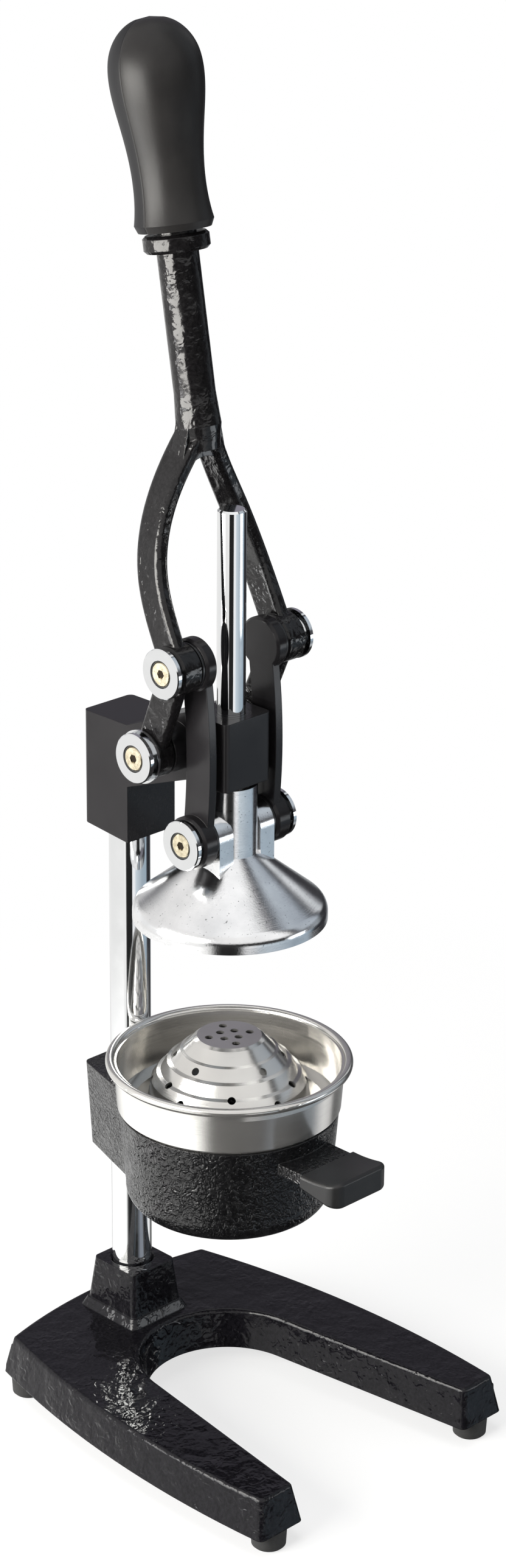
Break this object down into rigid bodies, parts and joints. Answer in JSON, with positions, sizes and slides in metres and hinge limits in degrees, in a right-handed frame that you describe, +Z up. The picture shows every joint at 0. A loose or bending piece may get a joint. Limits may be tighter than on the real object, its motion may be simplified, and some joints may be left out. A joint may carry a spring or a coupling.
{
  "type": "lever citrus juice press",
  "caption": "Black cast lever citrus press with chrome post and guide rod, polished aluminium press cone, stainless strainer cup on a bracket and U-shaped base on rubber feet",
  "frame": {"origin": "on the floor under the centre of the base's footprint", "axes": "+Z up, front towards -Y, +X to the right seen from the front"},
  "size_m": [0.1844, 0.2208, 0.7264],
  "materials": {
    "base_paint": "gloss black enamel over rough cast iron",
    "hammer_paint": "black hammered paint over cast iron",
    "satin_paint": "smooth black powder coat",
    "lever_paint": "gloss black enamel over cast metal",
    "grip_plastic": "moulded, satin",
    "foot_rubber": "matte black rubber",
    "screw_steel": "zinc-plated steel",
    "bright_chrome": "polished chrome plate",
    "washer_black": "black oxide, oiled",
    "screw_brass": "pale yellow passivated screw head",
    "bush_brass": "turned",
    "cone_aluminium": "polished casting",
    "cup_steel": "spun stainless sheet, satin"
  },
  "bodies": {
    "stand": {"base_casting": "base_paint", "foot_front_left": "foot_rubber", "foot_front_right": "foot_rubber", "foot_rear_left": "foot_rubber", "foot_rear_right": "foot_rubber", "foot_screws": "screw_steel", "post": "bright_chrome", "post_washer": "screw_steel", "post_bolt": "screw_steel", "base_set_screw": "screw_steel", "bracket_casting": "hammer_paint", "bracket_set_screw": "screw_steel", "tab_grip": "grip_plastic", "head_casting": "satin_paint", "head_set_screws": "screw_steel", "guide_bush_upper": "bush_brass", "guide_bush_lower": "bush_brass", "fulcrum_pin_left": "screw_steel", "fulcrum_cap_left": "bright_chrome", "fulcrum_screw_left": "screw_brass", "fulcrum_washer_left": "bright_chrome", "fulcrum_pin_right": "screw_steel", "fulcrum_cap_right": "bright_chrome", "fulcrum_screw_right": "screw_brass", "fulcrum_washer_right": "bright_chrome"},
    "lever": {"lever_arm": "lever_paint", "grip_ferrule": "lever_paint", "lever_grip": "grip_plastic", "knee_pin_left": "screw_steel", "knee_cap_left": "bright_chrome", "knee_screw_left": "screw_brass", "knee_washer_left": "washer_black", "knee_pin_right": "screw_steel", "knee_cap_right": "bright_chrome", "knee_screw_right": "screw_brass", "knee_washer_right": "washer_black"},
    "links": {"link_left": "satin_paint", "link_right": "satin_paint", "lower_pin_left": "screw_steel", "lower_cap_left": "bright_chrome", "lower_screw_left": "screw_brass", "lower_washer_left": "washer_black", "lower_pin_right": "screw_steel", "lower_cap_right": "bright_chrome", "lower_screw_right": "screw_brass", "lower_washer_right": "washer_black"},
    "press": {"press_cone": "cone_aluminium", "guide_rod": "bright_chrome"},
    "cup": {"strainer_cup": "cup_steel"}
  },
  "joints": [
    {"name": "lever_swing", "type": "hinge", "parent": "stand", "child": "lever", "pos_m": [0, 0.0268, 0.3747], "axis": [1, 0, 0], "range_deg": [0, 108.9]},
    {"name": "link_swing", "type": "hinge", "parent": "lever", "child": "links", "pos_m": [0, 0.00619, 0.42396], "axis": [1, 0, 0], "range_deg": [-99, 0]},
    {"name": "press_slide", "type": "slide", "parent": "stand", "child": "press", "axis": [0, 0, -1], "range_m": [0, 0.0836]},
    {"name": "cup_turn", "type": "hinge", "parent": "stand", "child": "cup", "pos_m": [0, 0.0047, 0.1789], "axis": [0, 0, 1], "range_deg": [0, 180]}
  ],
  "couplings": [
    {"joint": "link_swing", "follows": "lever_swing", "ratio": -0.88892},
    {"joint": "press_slide", "follows": "lever_swing", "m_per_rad": 0.043661}
  ]
}
